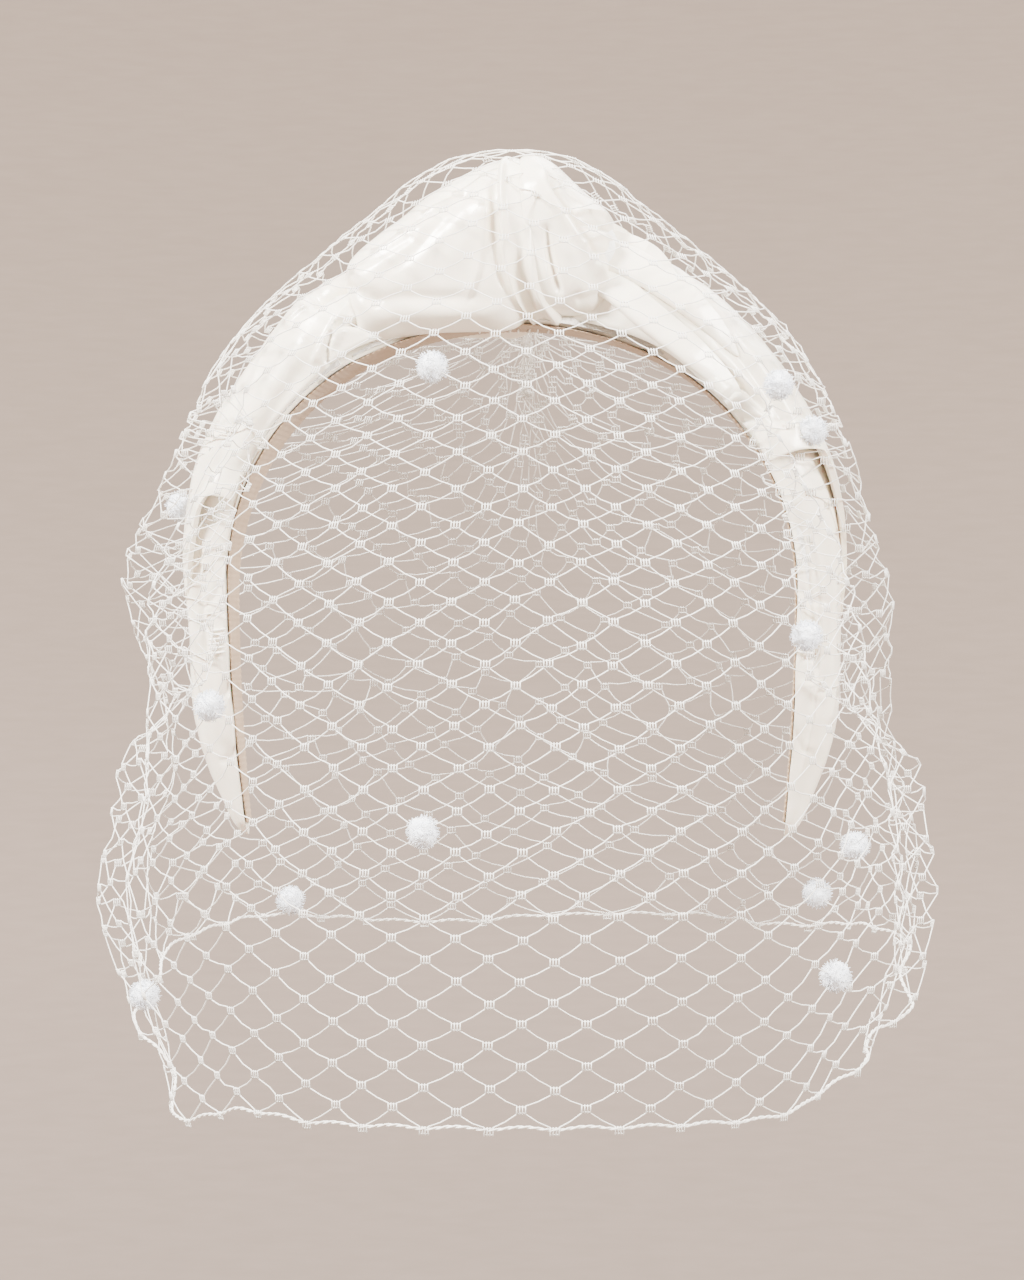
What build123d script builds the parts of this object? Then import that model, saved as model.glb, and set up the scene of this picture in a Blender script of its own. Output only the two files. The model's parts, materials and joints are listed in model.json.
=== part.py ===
"""Knotted satin headband with a dotted net veil.

Millimetres, +Z up. The origin is the crown seat: the middle of the band's
underside at its highest point. -Y is the wearer's face side and +X is the
wearer's left hand side. Distances along the band are measured on its
underside, from the crown; heights above the band are measured square to it.
"""

from build123d import *
import math
import os

os.makedirs("parts", exist_ok=True)

# ---- The band's underside: three arcs from the crown to each tip ----
crown_radius = 95.0
crown_turn = math.radians(20)
shoulder_radius = 70.7
leg_radius = 600.0
half_length = 189.0
lean_back = 12.0  # how far the tips sit behind the crown

# ---- Layers above the underside ----
lining_thick = 0.8
layer_gap = 0.1
cover_thick = 0.8
core_thick = 1.6

# ---- Joints ----
flex_at = 44.0  # distance along the band of each flex joint
flex_gap = 0.3  # half the gap in the core and the lining there
cover_start = 47.5
lift_axis_y = -15.0
lift_axis_z = -87.0

# ---- Knot ----
knot_slant = math.radians(11)
knot_middle_z = 24.0
lobe_wall = 1.2
lobe_gap = 0.3

# ---- Veil ----
net_thick = 0.5
hem_thick = 1.2
hem_front = (-104.0, -220.0)  # y, z of the hem at the front
hem_rear = (100.0, -172.0)
dot_diameter = 9.2

crown_run = crown_radius * crown_turn
shoulder_run = shoulder_radius * (math.pi / 2 - crown_turn)
shoulder_x = crown_radius * math.sin(crown_turn)
shoulder_z = -crown_radius * (1 - math.cos(crown_turn))
temple_x = shoulder_x + shoulder_radius * (1 - math.sin(crown_turn))
temple_z = shoulder_z - shoulder_radius * math.cos(crown_turn)

# Along the band: distance from the crown, cover width, cover height
cover_sizes = [
    (flex_at, 40, 18),
    (60, 38, 16),
    (80, 35, 14),
    (100, 32, 13),
    (120, 27, 13.2),
    (140, 23, 13.4),
    (154, 20, 13),
    (168, 16, 10.6),
    (179, 12, 6.8),
]
# The folded wing of satin over the upper arm
wing_end = 106.0
wing_sizes = [
    (flex_at, 46, 25),
    (60, 44, 21.5),
    (80, 40, 18.6),
    (95, 37, 17.4),
    (wing_end, 34, 16),
]
cover_end = 179.0
tip_sizes = [(cover_end, 12, 6.6), (184, 10.5, 5.4), (188.9, 7, 2.6)]
# The crown stretch under the knot, and the folds that fan out beside the knot
crown_sizes = [(0, 34, 9), (flex_at, 34, 10)]
fan_start = 34.5
fan_sizes = [(fan_start, 42, 25), (flex_at, 45, 25.5)]

# Heights of the knot's lobes: distance across, bottom, top, depth from front to back
main_lobe_sizes = [
    (-42, -12, -3, 22),
    (-37, -22, 3, 34),
    (-26, -24, 10, 39),
    (-13, -24, 17, 42),
    (2.4, -23.6, 24.4, 44),
]
pleat_sizes = [(2.8, -24.2, 24.6, 45), (7.6, -24.6, 25, 46), (12.4, -24.2, 22, 45)]
side_lobe_sizes = [
    (12.8, -22, 20, 43),
    (20, -19, 15, 41),
    (27, -16, 8, 36),
    (32, -12, 3, 26),
]

# The veil from top to bottom: height, half width, reach to the front, reach to the rear
veil_sizes = [
    (51.5, 9, 8, 8),
    (45, 25, 19, 19),
    (34, 38, 29, 29),
    (20, 56, 39, 39),
    (0, 77, 53, 52),
    (-25, 92.5, 68, 66),
    (-50, 102, 83, 79),
    (-80, 108.5, 96, 91),
    (-110, 107, 102, 97),
    (-130, 111, 104, 101),
    (-150, 117.5, 106, 103),
    (-175, 115, 107, 102),
    (-200, 107, 107, 100),
    (-228, 95, 104, 97),
]
# Chenille dots: side, height, 1 for the front layer or -1 for the rear one
dot_places = [
    (-18, -12, 1),
    (75, -13, 1),
    (86, -33, 1),
    (83, -83, 1),
    (-15, -138, 1),
    (95, -173, 1),
    (-98, -184, 1),
    (-74, -104, 1),
    (-100, -49, -1),
    (95, -146, -1),
    (87, -162, -1),
    (-70, -160, -1),
]


def band_point(s):
    """Distance out from the crown, height and slope of the band's underside."""
    if s <= crown_run:
        turn = s / crown_radius
        return crown_radius * math.sin(turn), -crown_radius * (1 - math.cos(turn)), turn
    if s <= crown_run + shoulder_run:
        turn = crown_turn + (s - crown_run) / shoulder_radius
        out = shoulder_x + shoulder_radius * (math.sin(turn) - math.sin(crown_turn))
        down = shoulder_z - shoulder_radius * (math.cos(crown_turn) - math.cos(turn))
        return out, down, turn
    turn = (s - crown_run - shoulder_run) / leg_radius
    out = temple_x - leg_radius * (1 - math.cos(turn))
    return out, temple_z - leg_radius * math.sin(turn), math.pi / 2 + turn


def band_plane(s, side):
    """Plane across the band: its x runs along the width, its y outwards."""
    out, height, slope = band_point(s)
    end_height = band_point(half_length)[1]
    along = (side * math.cos(slope), 0, -math.sin(slope))
    lean = lean_back * height / end_height
    return Plane(origin=(side * out, lean, height), x_dir=(0, side, 0), z_dir=along)


def size_at(sizes, s):
    """Width and height that a table of sizes gives at a distance along the band."""
    for (s0, w0, h0), (s1, w1, h1) in zip(sizes, sizes[1:]):
        if s <= s1:
            share = (s - s0) / (s1 - s0)
            return w0 + (w1 - w0) * share, h0 + (h1 - h0) * share
    return sizes[-1][1:]


def spaced(start, end, longest=10.0):
    """Evenly spaced distances along the band, both ends included."""
    count = math.ceil((end - start) / longest)
    return [start + (end - start) * n / count for n in range(count + 1)]


def padded(stations, low, trim):
    """Loft a padded stretch through flat-bottomed domes, each smaller by trim."""
    with BuildPart() as piece:
        for plane, (full_width, full_height) in stations:
            half = full_width / 2 - trim
            with BuildSketch(plane):
                with BuildLine():
                    Line((-half, low), (half, low))
                    ThreePointArc((half, low), (0, full_height - trim), (-half, low))
                make_face()
        loft()
    return piece


def strip(stations, low, thick):
    """Loft a flat strip along the band."""
    with BuildPart() as piece:
        for plane, width in stations:
            with BuildSketch(plane):
                with Locations((0, low + thick / 2)):
                    Rectangle(width, thick)
        loft()
    return piece


def without(solid, *cutters):
    """A solid less the space that its neighbours take."""
    with BuildPart() as piece:
        add(solid.part)
        for cutter in cutters:
            add(cutter.part, mode=Mode.SUBTRACT)
    return piece


def save(piece, name):
    """Label a finished piece and write it."""
    piece.part.label = name
    export_step(piece.part, f"parts/{name}.step")


def signed_plane(s):
    """Plane across the crown stretch, counted from -X to +X through the crown."""
    plane = band_plane(abs(s), 1 if s >= 0 else -1)
    along = plane.z_dir if s >= 0 else -plane.z_dir
    return Plane(origin=plane.origin, x_dir=(0, 1, 0), z_dir=along)


def knot_plane(across):
    """Slanted plane through the knot, across millimetres from its middle."""
    tilt = (math.cos(knot_slant), 0, math.sin(knot_slant))
    return Plane(origin=(across, 0, knot_middle_z), x_dir=(0, 1, 0), z_dir=tilt)


def lobe(sizes, trim):
    """Loft one lobe of the knot, each outline smaller by trim all round."""
    last = len(sizes) - 1
    with BuildPart() as piece:
        for n, (across, bottom, top, depth) in enumerate(sizes):
            inset = trim if n == 0 else -trim if n == last else 0
            with BuildSketch(knot_plane(across + inset)):
                with Locations((0, (bottom + top) / 2)):
                    Ellipse(depth / 2 - trim, (top - bottom) / 2 - trim)
        loft()
    return piece


core_low = lining_thick + layer_gap + cover_thick + layer_gap
padding_low = core_low + core_thick + layer_gap
cover_low = lining_thick + layer_gap
cavity_low = core_low - layer_gap

# ---- Crown: the fixed body ----
crown_core_width = 26.0
crown_lining_width = 30.0
crown_reach = flex_at - flex_gap


def crown_stations(reach):
    """Planes and sizes across the crown, reach millimetres to each side."""
    return [(signed_plane(s), size_at(crown_sizes, abs(s))) for s in spaced(-reach, reach)]


def core_slot(planes_and_widths):
    """The space that the core takes out of the padding round it."""
    return strip([(p, w + 2 * layer_gap) for p, w in planes_and_widths], 0, padding_low)


crown_band = crown_stations(crown_reach)
crown_cores = [(plane, crown_core_width) for plane, _ in crown_band]
crown_linings = [(plane, crown_lining_width) for plane, _ in crown_band]
save(strip(crown_cores, core_low, core_thick), "crown_core")
save(strip(crown_linings, 0, lining_thick), "crown_lining")
crown_padding = padded(crown_band, core_low, cover_thick + layer_gap)
save(without(crown_padding, core_slot(crown_cores)), "crown_padding")
crown_cavity = padded(crown_band, cavity_low, cover_thick)
save(without(padded(crown_band, cover_low, 0), crown_cavity), "crown_cover")

# The space that the crown stretch takes out of the lobes that wrap it
crown_room = padded(crown_stations(flex_at + 6), -lobe_wall, -lobe_wall)


def save_knot_lobe(sizes, name):
    """Write a hollow lobe and its filling, both clear of the band inside the knot."""
    save(without(lobe(sizes, 0), lobe(sizes, lobe_wall), crown_room), f"{name}_lobe")
    save(without(lobe(sizes, lobe_wall + layer_gap), crown_room), f"{name}_filling")


save_knot_lobe(main_lobe_sizes, "knot_main")
save_knot_lobe(side_lobe_sizes, "knot_side")
save(without(lobe(pleat_sizes, 0), crown_room), "knot_centre_pleat")

# Satin folds that fan out beside the knot, on the wearer's left
fan_steps = spaced(fan_start, crown_reach, 5)
fan_stations = [(band_plane(s, 1), size_at(fan_sizes, s)) for s in fan_steps]
fan_pleats = padded(fan_stations, cover_low, 0)
save(without(fan_pleats, crown_room, lobe(side_lobe_sizes, -lobe_gap)), "knot_fan_pleats")

# Thread stitches that close the knot under the band
stitch_length = 6.0
stitch_thick = 0.5
with BuildPart() as knot_stitches:
    with Locations(*[(x, 0, -stitch_thick - 0.15) for x in (-8, -4, 0, 4, 8)]):
        Cylinder(stitch_thick / 2, stitch_length, rotation=(90, 0, 0))
save(knot_stitches, "knot_stitches")


# ---- Arms ----
core_end = 176.0
lining_end = 186.0
core_share = 0.7  # of the cover's width
lining_share = 0.8
wing_low = 3.0
tack_at = crown_run + shoulder_run + (temple_z - lift_axis_z)
tack_radius = 0.35
tack_length = 5.0
arm_sizes = cover_sizes + tip_sizes[1:]


def arm_stations(sizes, start, end, side):
    """Planes and sizes along one arm."""
    return [(band_plane(s, side), size_at(sizes, s)) for s in spaced(start, end)]


def strip_stations(end, side, share):
    """Planes and widths of a strip along one arm, from its flex joint."""
    stations = arm_stations(arm_sizes, flex_at + flex_gap, end, side)
    return [(plane, share * width) for plane, (width, _) in stations]


def make_arm(side, name):
    """One arm of the band, from its flex joint to its tip."""
    covers = arm_stations(cover_sizes, cover_start, cover_end, side)
    wings = arm_stations(wing_sizes, cover_start, wing_end, side)
    tips = arm_stations(tip_sizes, cover_end + layer_gap, tip_sizes[-1][0], side)
    cores = strip_stations(core_end, side, core_share)
    linings = strip_stations(lining_end, side, lining_share)
    save(strip(cores, core_low, core_thick), f"{name}_core")
    save(strip(linings, 0, lining_thick), f"{name}_lining")
    padding = padded(covers, core_low, cover_thick + layer_gap)
    save(without(padding, core_slot(cores)), f"{name}_padding")
    cavity = padded(covers, cavity_low, cover_thick)
    save(without(padded(covers, cover_low, 0), cavity), f"{name}_cover")
    save(without(padded(wings, wing_low, 0), padded(covers, 0, -lobe_gap)), f"{name}_wing")
    save(padded(tips, cover_low, 0), f"{name}_tip_fold")

    # Three thread stitches on the front edge hold the net, level with the lift axis
    with BuildPart() as tack:
        for step in (-2.2, 0, 2.2):
            plane = band_plane(tack_at + step, side)
            edge = -side * (size_at(cover_sizes, tack_at + step)[0] / 2 + 0.9)
            with Locations(plane.location * Location((edge, 3.6, 0))):
                Cylinder(tack_radius, tack_length, rotation=(90, 0, 0))
    save(tack, f"{name}_veil_tack")


make_arm(-1, "right_arm")
make_arm(1, "left_arm")


# ---- Veil ----
veil_step = 8.0


def curve_slope(table, n, column):
    """Slope of a smooth curve at the n-th row of a table."""
    above = table[max(n - 1, 0)]
    below = table[min(n + 1, len(table) - 1)]
    return (below[column] - above[column]) / (below[0] - above[0])


def veil_size(height):
    """Half width and reaches of the veil at a height, on smooth curves."""
    n = max(k for k, row in enumerate(veil_sizes[:-1]) if k == 0 or height <= row[0])
    upper = veil_sizes[n]
    lower = veil_sizes[n + 1]
    step = lower[0] - upper[0]
    t = (height - upper[0]) / step
    sizes = []
    for column in (1, 2, 3):
        start = upper[column] * (1 - t) ** 2 * (1 + 2 * t)
        end = lower[column] * t**2 * (3 - 2 * t)
        rise = curve_slope(veil_sizes, n, column) * t * (1 - t) ** 2
        fall = curve_slope(veil_sizes, n + 1, column) * t**2 * (1 - t)
        sizes.append(start + end + step * (rise - fall))
    return sizes


def bell(trim):
    """Loft the whole bell of the veil, each outline smaller by trim all round."""
    top = veil_sizes[0][0]
    bottom = veil_sizes[-1][0]
    count = math.ceil((top - bottom) / veil_step)
    with BuildPart() as piece:
        for n in range(count + 1):
            height = top + (bottom - top) * n / count
            half_width, front, rear = veil_size(height)
            middle = (0, (rear - front) / 2, height - trim)
            with BuildSketch(Plane.XY.move(Location(middle))):
                Ellipse(half_width - trim, (front + rear) / 2 - trim)
        loft(ruled=True)
    return piece


hem_run = hem_rear[0] - hem_front[0]
hem_rise = hem_rear[1] - hem_front[1]
hem_normal = (0, -hem_rise, hem_run)
hem_plane = Plane(origin=(0, *hem_front), x_dir=(1, 0, 0), z_dir=hem_normal)
hem_space = 0.05

with BuildPart() as veil_net:
    add(without(bell(0), bell(net_thick)).part)
    split(bisect_by=hem_plane, keep=Keep.TOP)
save(veil_net, "veil_net")

with BuildPart() as veil_selvedge:
    add(without(bell(0), bell(hem_thick)).part)
    split(bisect_by=hem_plane.offset(-hem_space), keep=Keep.BOTTOM)
    split(bisect_by=hem_plane.offset(-hem_space - hem_thick), keep=Keep.TOP)
save(veil_selvedge, "veil_selvedge")


def dot_centre(x, height, face):
    """Middle of a dot on the front or rear layer of the veil."""
    half_width, front, rear = veil_size(height)
    share = math.sqrt(max(0.0, 1 - (x / half_width) ** 2))
    depth = (front + rear) / 2 * share
    return (x, (rear - front) / 2 - face * depth, height)


with BuildPart() as chenille_dots:
    with Locations(*[dot_centre(*place) for place in dot_places]):
        Sphere(dot_diameter / 2)
save(chenille_dots, "chenille_dots")

# The thread that gathers the net behind the knot
gather_y = 26.5
gather_z = 27.0
with BuildPart() as gather_thread:
    with Locations((0, gather_y, gather_z)):
        for turn in (-1.1, 0, 1.1):
            with Locations((0, turn, 0)):
                Torus(3.2, 0.5, rotation=(90, 0, 0))
save(gather_thread, "veil_gather_thread")
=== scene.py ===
import json
import math

import bpy
import numpy as np
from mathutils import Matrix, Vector, noise

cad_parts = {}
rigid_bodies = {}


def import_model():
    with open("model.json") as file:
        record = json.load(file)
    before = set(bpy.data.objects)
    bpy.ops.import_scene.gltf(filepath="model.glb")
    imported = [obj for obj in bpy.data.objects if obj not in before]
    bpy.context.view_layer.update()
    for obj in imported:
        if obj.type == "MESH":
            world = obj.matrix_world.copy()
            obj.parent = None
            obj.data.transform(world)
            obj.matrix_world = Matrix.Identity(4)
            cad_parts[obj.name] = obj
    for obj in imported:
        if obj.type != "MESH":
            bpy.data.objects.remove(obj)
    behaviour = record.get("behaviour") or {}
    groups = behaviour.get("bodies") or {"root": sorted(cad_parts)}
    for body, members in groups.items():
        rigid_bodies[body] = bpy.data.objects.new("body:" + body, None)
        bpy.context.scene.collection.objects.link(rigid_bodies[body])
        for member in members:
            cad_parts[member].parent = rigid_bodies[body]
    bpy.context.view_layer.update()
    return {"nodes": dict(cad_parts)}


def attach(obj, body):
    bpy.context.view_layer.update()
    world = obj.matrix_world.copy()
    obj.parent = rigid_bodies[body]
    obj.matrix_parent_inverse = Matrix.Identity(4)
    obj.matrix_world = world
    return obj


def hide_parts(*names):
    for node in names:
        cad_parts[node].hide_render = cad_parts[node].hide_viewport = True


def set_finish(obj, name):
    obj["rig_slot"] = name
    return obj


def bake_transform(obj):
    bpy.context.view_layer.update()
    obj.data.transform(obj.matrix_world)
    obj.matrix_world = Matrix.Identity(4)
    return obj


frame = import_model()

MM = 0.001
random_source = np.random.default_rng(11)

# Driving sizes, in millimetres, in the part's own frame: origin at the crown
# seat, +Z up, -Y towards the face, +X towards the wearer's left.
CROWN_RADIUS = 95.0
CROWN_TURN = math.radians(20)
SHOULDER_RADIUS = 70.7
LEG_RADIUS = 600.0
LEAN_BACK = 12.0
BAND_HALF = 189.0
FLEX_FROM, FLEX_TO = 39.0, 58.0  # where each arm bends

NET_WIDTH = 17.0  # of one diamond
NET_HEIGHT = 11.0
NET_THREAD = 0.175  # thread radius
NET_COLUMNS = 40
HEM_THREAD = 0.27  # thread radius
HEM_TWIST = 0.24  # how far its two threads lie from their middle
TACK_Z = -87.0


# ---- Small mesh tools ----
def smooth_step(low, high, value):
    """0 below low, 1 above high, and a soft rise between them."""
    t = np.clip((np.asarray(value, float) - low) / (high - low), 0, 1)
    return t * t * (3 - 2 * t)


def through(table, at):
    """Values of a table's columns at given places of its first one, on smooth curves."""
    table = np.asarray(table, float)
    at = np.atleast_1d(np.asarray(at, float))
    places = table[:, 0]
    slopes = np.gradient(table[:, 1:], places, axis=0)
    n = np.clip(np.searchsorted(places, at) - 1, 0, len(places) - 2)
    step = (places[n + 1] - places[n])[:, None]
    t = ((at - places[n])[:, None]) / step
    start = table[n, 1:] * (1 - t) ** 2 * (1 + 2 * t)
    end = table[n + 1, 1:] * t**2 * (3 - 2 * t)
    return start + end + step * (slopes[n] * t * (1 - t) ** 2 - slopes[n + 1] * t**2 * (1 - t))


def hump(value, middle, width):
    """1 at the middle, falling softly to 0 on both sides."""
    return np.exp(-(((value - middle) / width) ** 2))


def around(count):
    """Turns of places spaced evenly round a circle."""
    return 2 * np.pi * np.arange(count) / count


def unit(vectors):
    """Vectors scaled to length one."""
    return vectors / np.maximum(np.linalg.norm(vectors, axis=-1, keepdims=True), 1e-9)


def make_mesh(name, points, faces):
    """A smooth-shaded mesh object from points in millimetres."""
    mesh = bpy.data.meshes.new(name)
    mesh.from_pydata((np.asarray(points) * MM).tolist(), [], [list(map(int, f)) for f in faces])
    mesh.validate()
    mesh.shade_smooth()
    made = bpy.data.objects.new(name, mesh)
    bpy.context.scene.collection.objects.link(made)
    return made


def grid_faces(rows, columns, wrap=True):
    """Quads of a grid whose points go row by row; wrap joins the last column to the first."""
    last = columns if wrap else columns - 1
    r, c = np.meshgrid(np.arange(rows - 1), np.arange(last), indexing="ij")
    a = (r * columns + c).ravel()
    b = (r * columns + (c + 1) % columns).ravel()
    return np.stack([a, b, b + columns, a + columns], axis=1)


def end_faces(rows, columns):
    """Triangles from the first and last ring of a grid to two middles that follow its points."""
    first, low = rows * columns, (rows - 1) * columns
    faces = []
    for c in range(columns):
        faces.append((first, (c + 1) % columns, c))
        faces.append((first + 1, low + c, low + (c + 1) % columns))
    return faces


def tubes(paths, radius, normals, sides=4, caps=False):
    """Tubes along many paths of equal length: their points and faces."""
    count, steps, _ = paths.shape
    along = unit(np.gradient(paths, axis=1))
    side = unit(np.cross(along, normals))
    up = np.cross(side, along)
    turn = 2 * np.pi * (np.arange(sides) + 0.5) / sides
    ring = side[:, :, None, :] * np.cos(turn)[:, None] + up[:, :, None, :] * np.sin(turn)[:, None]
    points = (paths[:, :, None, :] + radius * ring).reshape(-1, 3)
    quads = grid_faces(steps, sides)
    first = np.arange(count)[:, None, None] * steps * sides
    walls = (quads[None] + first).reshape(-1, 4)
    if not caps:
        return points, list(walls)
    start = np.arange(sides)[::-1]
    end = (steps - 1) * sides + np.arange(sides)
    return points, list(walls) + list(np.concatenate([start + first[:, 0], end + first[:, 0]]))


def join_parts(parts):
    """Several (points, faces) as one."""
    points, faces, first = [], [], 0
    for part_points, part_faces in parts:
        points.append(part_points)
        faces.extend(np.asarray(f) + first for f in part_faces)
        first += len(part_points)
    return np.concatenate(points), faces


# ---- The veil's shape ----
# Height, half width, reach to the front, reach to the rear
VEIL_SIZES = [
    (-228, 96, 103, 96),
    (-200, 102.5, 105, 99),
    (-175, 109.5, 105, 101),
    (-150, 112.5, 104, 101),
    (-130, 108, 102, 99),
    (-110, 105.5, 100, 96),
    (-80, 106.5, 94, 90),
    (-50, 100, 81, 78),
    (-25, 91, 66.5, 65),
    (0, 76, 51, 51),
    (20, 55, 37, 38),
    (34, 37.5, 27, 30),
    (44, 25, 16.5, 24),
    (49, 14, 5.5, 19),
    (50.4, 7, -2, 15.5),
    (50.9, 2.2, -8, 12),
]
HEM_FRONT = -214.0
HEM_REAR = -171.0
VEIL_BOTTOM, VEIL_TOP = VEIL_SIZES[0][0], VEIL_SIZES[-1][0]
GATHER = np.array([0.0, 27.0, 27.0])
SWING_Z = -14.0
SWING = math.radians(40)


def veil_sizes(height):
    """Half width and reach to the front and the rear, at heights of any shape."""
    return through(VEIL_SIZES, height.ravel()).T.reshape(3, *height.shape)


def on_bell(points):
    """Points moved straight away from the bell's inside until they lie on its wall."""
    start = np.array([0.0, 0.0, SWING_Z])
    way = unit(points - start)
    low = np.full(points.shape[:-1], 5.0)
    high = np.full(points.shape[:-1], 140.0)
    for _ in range(22):
        reach = (low + high) / 2
        x, y, z = np.moveaxis(start + way * reach[..., None], -1, 0)
        half_width, front, rear = veil_sizes(np.clip(z, VEIL_BOTTOM, VEIL_TOP))
        inside = (x / half_width) ** 2 + ((y - (rear - front) / 2) / ((rear + front) / 2)) ** 2 < 1
        inside &= z < VEIL_TOP
        low = np.where(inside, reach, low)
        high = np.where(inside, high, reach)
    return start + way * low[..., None]


def crumple(theta, height):
    """Soft uneven waves of the loose net at the sides and the rear, as a share of its size."""
    loose = smooth_step(0.75, 1.35, np.abs(theta)) * smooth_step(-20, -80, height)
    waves = np.sin(theta * 5.1 + height * 0.043 + 0.6) * np.sin(height * 0.071 - theta * 2.3)
    waves = waves + 0.7 * np.sin(theta * 9.7 - height * 0.052) * np.cos(height * 0.112 + theta)
    return 0.014 * loose * waves


def veil_points(theta, height):
    """Points of the veil's surface; theta is the turn from the face, positive to +X."""
    theta, height = np.broadcast_arrays(np.asarray(theta, float), height)
    half_width, front, rear = veil_sizes(height)
    middle = (rear - front) / 2
    depth = (rear + front) / 2
    x = half_width * np.sin(theta)
    y = middle - depth * np.cos(theta)
    tuck = smooth_step(-12, -38, height) * (1 - smooth_step(-92, -122, height))
    below = smooth_step(-80, -130, height)
    for side in (-1, 1):
        edge_out, edge_back = tack_line(height)
        at = np.arctan2(edge_out / half_width, -edge_back / depth)
        reach = np.hypot(edge_out, edge_back)
        full = np.hypot(half_width * np.sin(at), depth * np.cos(at))
        away = (np.abs(theta) - at) * (np.sign(theta) == side) + 9 * (np.sign(theta) != side)
        pull = 1 - (1 - reach / full) * tuck * hump(away, 0, 0.17)
        fold = 4.5 * below * hump(away, 0, 0.42) * np.cos(away * (17 + side * 2))
        grow = pull + fold / full
        x = x * grow
        y = middle + (y - middle) * grow
    rear_pleats = smooth_step(1.9, 2.6, np.abs(theta)) * smooth_step(20, -10, height)
    grow = 1 + 0.03 * rear_pleats * np.cos(theta * 14) + crumple(theta, height)
    grow = grow + 0.11 * hump(theta, -1.85, 0.32) * hump(height, -68, 26)
    grow = grow + 0.03 * hump(theta, 1.9, 0.35) * hump(height, -84, 30)
    points = np.stack([x * grow + 2.2 * below, middle + (y - middle) * grow, height], -1)
    swing = SWING * smooth_step(SWING_Z, VEIL_TOP, height)
    y, z = points[..., 1], points[..., 2] - SWING_Z
    back = y * np.cos(swing) + z * np.sin(swing)
    up = z * np.cos(swing) - y * np.sin(swing) + SWING_Z
    swung = np.stack([points[..., 0], back, up], -1)
    high = height > SWING_Z
    points = np.where(high[..., None], on_bell(swung), points)
    gather = smooth_step(36, VEIL_TOP, height)[..., None]
    return points + gather * (GATHER - points) * (1 - 0.12 * (1 - gather))


def tack_line(height):
    """How far out and back the front edge of each arm lies at a height."""
    heights = [-120, TACK_Z, -60, -40, -25, 0]
    out = np.interp(height, heights, [80, 80.5, 77, 70, 59, 45])
    return out, np.interp(height, heights, [-4, -6.5, -12, -16.5, -18, -20])


def hem_height(theta):
    """Height of the hem at a turn from the face: it stays low further round on -X."""
    rise = np.where(theta < 0, smooth_step(1.0, 2.1, -theta), smooth_step(0.72, 2.1, theta))
    wander = 1.6 * np.sin(theta * 3.0 + 0.7) * np.sin(theta * 1.3) + 1.2 * np.sin(theta * 7.3)
    wander = wander * smooth_step(0.3, 1, np.abs(theta))
    return HEM_FRONT + (HEM_REAR - HEM_FRONT) * rise + wander - 4.5 * hump(theta, -1.12, 0.22)


def spread_columns(across, half_round):
    """Places of the net's columns along half a round: even in front, crowded at the rear."""
    free = 0.52
    widest = NET_WIDTH * NET_COLUMNS / 2 / half_round
    at = across / half_round
    power = max((widest - free) / (1 - free), 0.2)
    t = np.clip((at - free) / (widest - free), 0, 1)
    crowded = free + (1 - free) * (1 - (1 - t) ** power)
    return np.where(at < free, at, crowded) * half_round


def net_columns():
    """Nodes of the net, keyed by (half column, row), each with its turn and height on the veil, and
    the turns and heights of its hem.
    """
    turns = np.linspace(0, np.pi, 241)
    heights = VEIL_TOP - (VEIL_TOP - HEM_FRONT + 4) * np.linspace(1, 0, 620) ** 2
    ks = np.arange(-NET_COLUMNS, NET_COLUMNS)
    thetas = np.zeros((len(heights), len(ks)))
    for n, height in enumerate(heights):
        ring = veil_points(turns, np.full(turns.shape, height))
        steps = np.linalg.norm(np.diff(ring, axis=0), axis=1)
        run = np.concatenate([[0], np.cumsum(steps)])
        place = spread_columns(np.abs(ks) * NET_WIDTH / 2, run[-1])
        thetas[n] = np.interp(place, run, turns) * np.sign(ks)
    nodes, hem = {}, []
    for c, k in enumerate(ks):
        theta = thetas[:, c]
        if k == -NET_COLUMNS:
            theta = np.full(len(heights), -np.pi)
        line = veil_points(theta, heights)
        keep = heights >= hem_height(theta)
        line, theta, level = line[keep], theta[keep], heights[keep]
        run = np.concatenate([[0], np.cumsum(np.linalg.norm(np.diff(line, axis=0), axis=1))])
        rows = int(run[-1] / (NET_HEIGHT / 2))
        hem.append((theta[0], level[0] + 1.6 * (k % 2)))
        for j in range(rows + 1):
            if (j + k) % 2:
                continue
            at_theta = np.interp(j * NET_HEIGHT / 2, run, theta)
            at_level = np.interp(j * NET_HEIGHT / 2, run, level)
            nodes[(k, j)] = (at_theta, at_level)
    return nodes, np.array(hem)


def surface_frame(theta, height):
    """Point, sideways, upward and outward directions on the veil."""
    step = 0.004
    here = veil_points(theta, height)
    side = unit(veil_points(theta + step, height) - veil_points(theta - step, height))
    above = np.minimum(height + 0.3, VEIL_TOP - 0.01)
    rise = veil_points(theta, above) - veil_points(theta, height - 0.3)
    out = unit(np.cross(side, unit(rise)))
    return here, side, np.cross(out, side), out


def lay_net():
    """The net's nodes, the threads between them and the line of its hem."""
    found, hem = net_columns()
    keys = list(found)
    index = {key: n for n, key in enumerate(keys)}
    theta = np.array([found[key][0] for key in keys])
    level = np.array([found[key][1] for key in keys])
    point, side, rise, out = surface_frame(theta, level)
    free = np.array([0.0 if j < 1 else 1.0 for _, j in keys])
    loose = free * (0.3 + 0.6 * smooth_step(0.7, 1.4, np.abs(theta)))
    wobble = random_source.normal(0, 1, (len(keys), 2)) * loose[:, None]
    point = point + side * wobble[:, :1] + rise * wobble[:, 1:]
    ties = []
    for (k, j), n in index.items():
        for step in (-1, 1):
            across = (k + step + NET_COLUMNS) % (2 * NET_COLUMNS) - NET_COLUMNS
            other = index.get((across, j + 1))
            if other is not None:
                ties.append((n, other, step))
    return (point, side, rise, out), np.array(ties), veil_points(hem[:, 0], hem[:, 1])


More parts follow.
